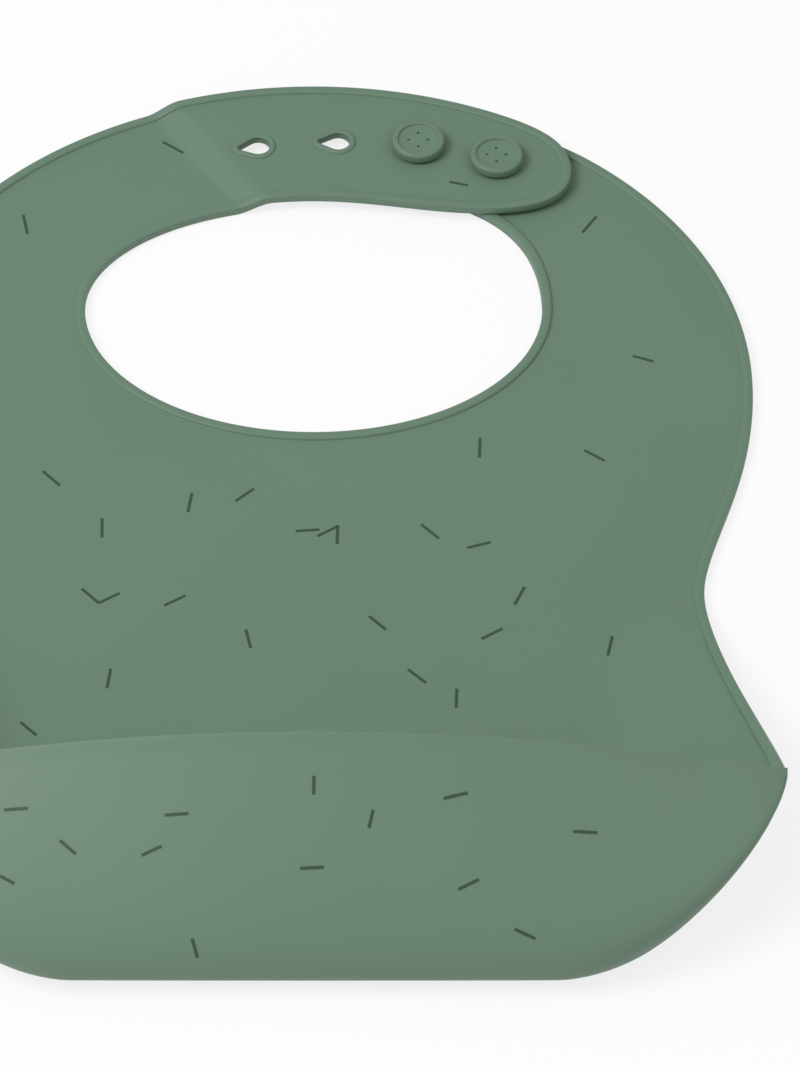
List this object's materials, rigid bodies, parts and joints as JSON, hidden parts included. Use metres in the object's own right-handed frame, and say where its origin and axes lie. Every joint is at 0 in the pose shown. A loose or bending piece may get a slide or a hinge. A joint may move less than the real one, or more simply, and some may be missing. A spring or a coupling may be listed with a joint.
{
  "type": "silicone bib",
  "caption": "Moulded silicone baby bib with an open crumb pocket and an overlapping collar closed by button studs in keyholes.",
  "frame": {"origin": "under the middle of the bib's bounding box, on the surface it lies on", "axes": "+Z out of the bib's front, +Y from the pocket towards the collar, +X to the viewer's right looking at the front"},
  "size_m": [0.232, 0.3011, 0.0451],
  "materials": {
    "sheet_silicone": "smooth matt moulded silicone sheet",
    "edge_silicone": "smooth matt rolled edge",
    "stud_silicone": "smooth matt moulded stud"
  },
  "bodies": {
    "apron": {"chest_panel": "sheet_silicone", "neck_bead": "edge_silicone", "side_bead_left": "edge_silicone", "side_bead_right": "edge_silicone", "gusset_left": "sheet_silicone", "gusset_right": "sheet_silicone", "pocket_floor": "sheet_silicone", "pocket_corner_left": "sheet_silicone", "pocket_corner_right": "sheet_silicone", "corner_rim_left": "edge_silicone", "corner_rim_right": "edge_silicone", "pocket_fold": "sheet_silicone", "shoulder_flex_left": "sheet_silicone", "shoulder_flex_right": "sheet_silicone"},
    "pocket": {"pocket_front": "sheet_silicone", "pocket_rim": "edge_silicone"},
    "collar": {"shoulder_left": "sheet_silicone", "shoulder_right": "sheet_silicone", "shoulder_bead_left": "edge_silicone", "shoulder_bead_right": "edge_silicone", "keyhole_strap_flex": "sheet_silicone", "stud_strap_flex": "sheet_silicone"},
    "keyhole_strap": {"keyhole_strap": "sheet_silicone", "keyhole_strap_bead": "edge_silicone", "keyhole_lips": "edge_silicone"},
    "stud_strap": {"stud_strap": "sheet_silicone", "stud_strap_bead": "edge_silicone", "inner_stud": "stud_silicone", "outer_stud": "stud_silicone"}
  },
  "joints": [
    {"name": "collar_fold", "type": "hinge", "parent": "apron", "child": "collar", "pos_m": [0, 0.0691, 0.0009], "axis": [1, 0, 0], "range_deg": [-80, 30], "deforming": ["shoulder_flex_left", "shoulder_flex_right"]},
    {"name": "keyhole_strap_peel", "type": "hinge", "parent": "collar", "child": "keyhole_strap", "pos_m": [0, 0.0691, 0.0009], "axis": [0.5736, -0.8192, 0], "range_deg": [0, 110], "deforming": ["keyhole_strap_flex", "inner_stud", "outer_stud"]},
    {"name": "stud_strap_bend", "type": "hinge", "parent": "collar", "child": "stud_strap", "pos_m": [0, 0.0691, 0.0009], "axis": [0.8192, 0.5736, 0], "range_deg": [-60, 0], "deforming": ["stud_strap_flex", "inner_stud", "outer_stud"]},
    {"name": "pocket_flex", "type": "hinge", "parent": "apron", "child": "pocket", "pos_m": [0, -0.1496, 0.009], "axis": [1, 0, 0], "range_deg": [-30, 10], "stiffness_Nm_per_rad": 0.4, "deforming": ["pocket_fold"]}
  ]
}
